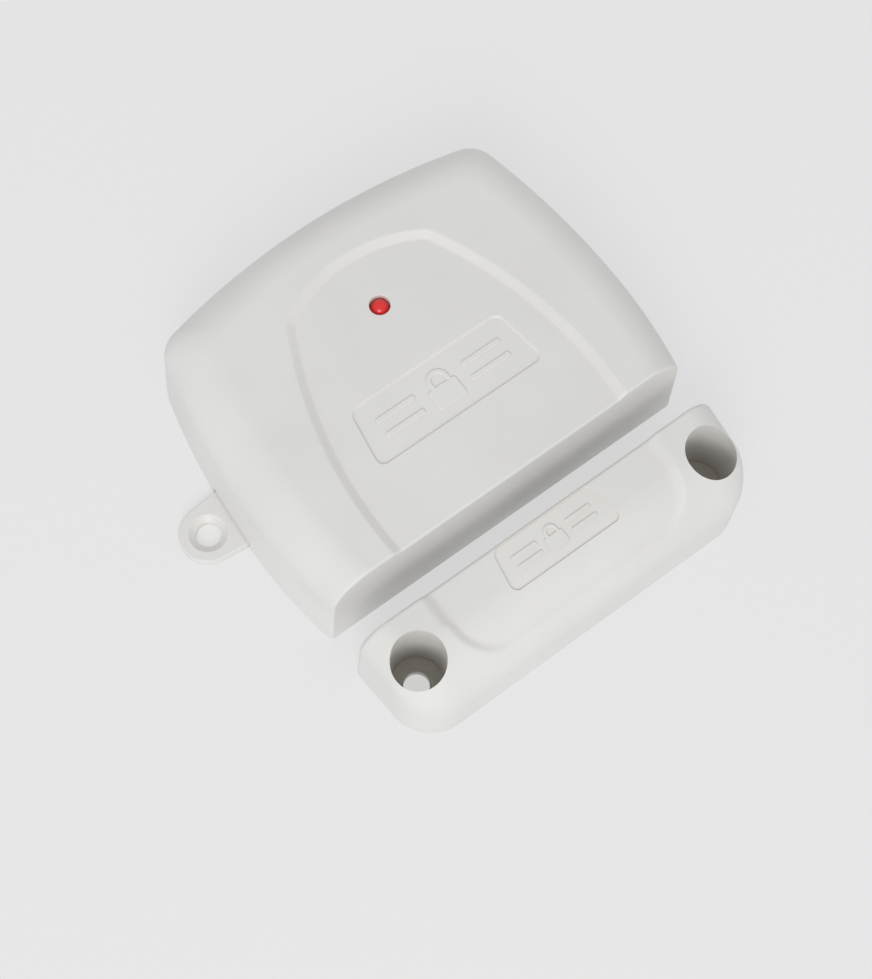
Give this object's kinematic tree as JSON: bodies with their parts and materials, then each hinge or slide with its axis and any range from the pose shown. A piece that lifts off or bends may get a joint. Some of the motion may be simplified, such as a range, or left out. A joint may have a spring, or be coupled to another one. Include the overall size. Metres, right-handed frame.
{
  "type": "door contact sensor",
  "caption": "Surface mounted wireless magnetic door contact: white bowed housing with a lift-off cover, light, screw ear, reed switch board and battery, and a separate magnet block.",
  "frame": {"origin": "middle of the main unit's flat underside, on the mounting surface", "axes": "+Z away from the mounting surface; X along the flat wall that faces the magnet, with the screw ear towards -X; +Y from the magnet towards the far bowed side"},
  "size_m": [0.0778, 0.075, 0.0217],
  "materials": {
    "white_plastic": "fine satin moulded ABS",
    "board_laminate": "green solder mask",
    "plated_steel": "bright nickel plate",
    "red_lens": "diffused red epoxy",
    "tinned_wire": "tinned",
    "black_plastic": "moulded nylon",
    "cell_jacket": "printed shrink jacket over steel",
    "contact_brass": "stamped strip",
    "reed_glass": "clear green tinted",
    "switch_red": "moulded",
    "chip_epoxy": "moulding compound",
    "enamelled_copper": "enamelled copper",
    "capacitor_sleeve": "shrink sleeve over aluminium",
    "ceramic_coat": "dipped coating",
    "resistor_coat": "lacquer",
    "jumper_blue": "moulded",
    "ferrite": "sintered"
  },
  "bodies": {
    "base": {"base_plate": "white_plastic", "circuit_board": "board_laminate", "board_screw_left": "plated_steel", "board_screw_right": "plated_steel", "light": "red_lens", "light_lead_left": "tinned_wire", "light_lead_right": "tinned_wire", "battery_tray": "black_plastic", "battery_cell": "cell_jacket", "battery_contact": "contact_brass", "battery_spring_plate": "contact_brass", "battery_spring": "plated_steel", "reed_glass": "reed_glass", "reed_fixed_blade": "tinned_wire", "reed_left_lead": "tinned_wire", "tamper_switch": "black_plastic", "coding_chip": "chip_epoxy", "resonator_can": "plated_steel", "radio_transistor": "chip_epoxy", "tuning_coil": "enamelled_copper", "electrolytic_capacitor": "capacitor_sleeve", "ceramic_capacitor_1": "ceramic_coat", "ceramic_capacitor_2": "ceramic_coat", "resistor_1": "resistor_coat", "resistor_2": "resistor_coat", "resistor_3": "resistor_coat", "code_header": "black_plastic", "code_jumper_1": "jumper_blue", "code_jumper_2": "jumper_blue", "wire_antenna": "enamelled_copper"},
    "cover": {"cover": "white_plastic"},
    "tamper_plunger": {"tamper_plunger": "switch_red"},
    "reed_blade": {"reed_moving_blade": "tinned_wire"},
    "magnet": {"magnet_case": "white_plastic", "bar_magnet": "ferrite", "magnet_back_plate": "white_plastic"}
  },
  "joints": [
    {"name": "magnet_travel", "type": "slide", "parent": "base", "child": "magnet", "axis": [0, -1, 0], "range_m": [0, 0.04]},
    {"name": "cover_lift", "type": "slide", "parent": "base", "child": "cover", "axis": [0, 0, 1], "range_m": [0, 0.03]},
    {"name": "tamper_press", "type": "slide", "parent": "base", "child": "tamper_plunger", "axis": [0, 0, 1], "range_m": [0, 0.0008]},
    {"name": "reed_opening", "type": "hinge", "parent": "base", "child": "reed_blade", "pos_m": [-0.0066, -0.0195, 0.00918], "axis": [0, -1, 0], "range_deg": [0, 1.5]}
  ],
  "couplings": [
    {"joint": "tamper_press", "follows": "cover_lift", "ratio": 0.025},
    {"joint": "reed_opening", "follows": "magnet_travel", "rad_per_m": 0.61}
  ]
}
